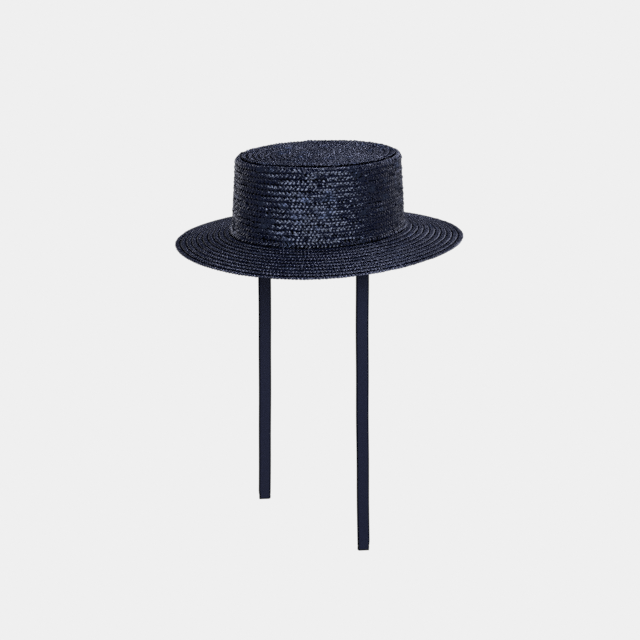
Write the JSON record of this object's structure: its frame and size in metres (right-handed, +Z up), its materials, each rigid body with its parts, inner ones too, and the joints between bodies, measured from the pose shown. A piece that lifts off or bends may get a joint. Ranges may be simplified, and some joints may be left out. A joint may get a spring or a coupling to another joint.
{
  "type": "straw boater hat with ribbon ties",
  "caption": "Flat-topped straw hat with an upright oval crown, a wide gently drooping brim and two long flat ribbon ties hanging from the head opening.",
  "frame": {"origin": "centre of the head opening, at the plane where the crown meets the brim", "axes": "+Z up through the crown, -Y towards the wearer's front, +X towards the wearer's left"},
  "size_m": [0.2966, 0.3286, 0.4439],
  "materials": {
    "straw": "sewn flat braid of glossy dark navy straw",
    "ribbon": "dark navy woven ribbon with a soft sheen"
  },
  "bodies": {
    "root": {"crown_tip": "straw", "crown_side": "straw", "brim": "straw", "tie_left": "ribbon", "tie_right": "ribbon"}
  },
  "joints": []
}
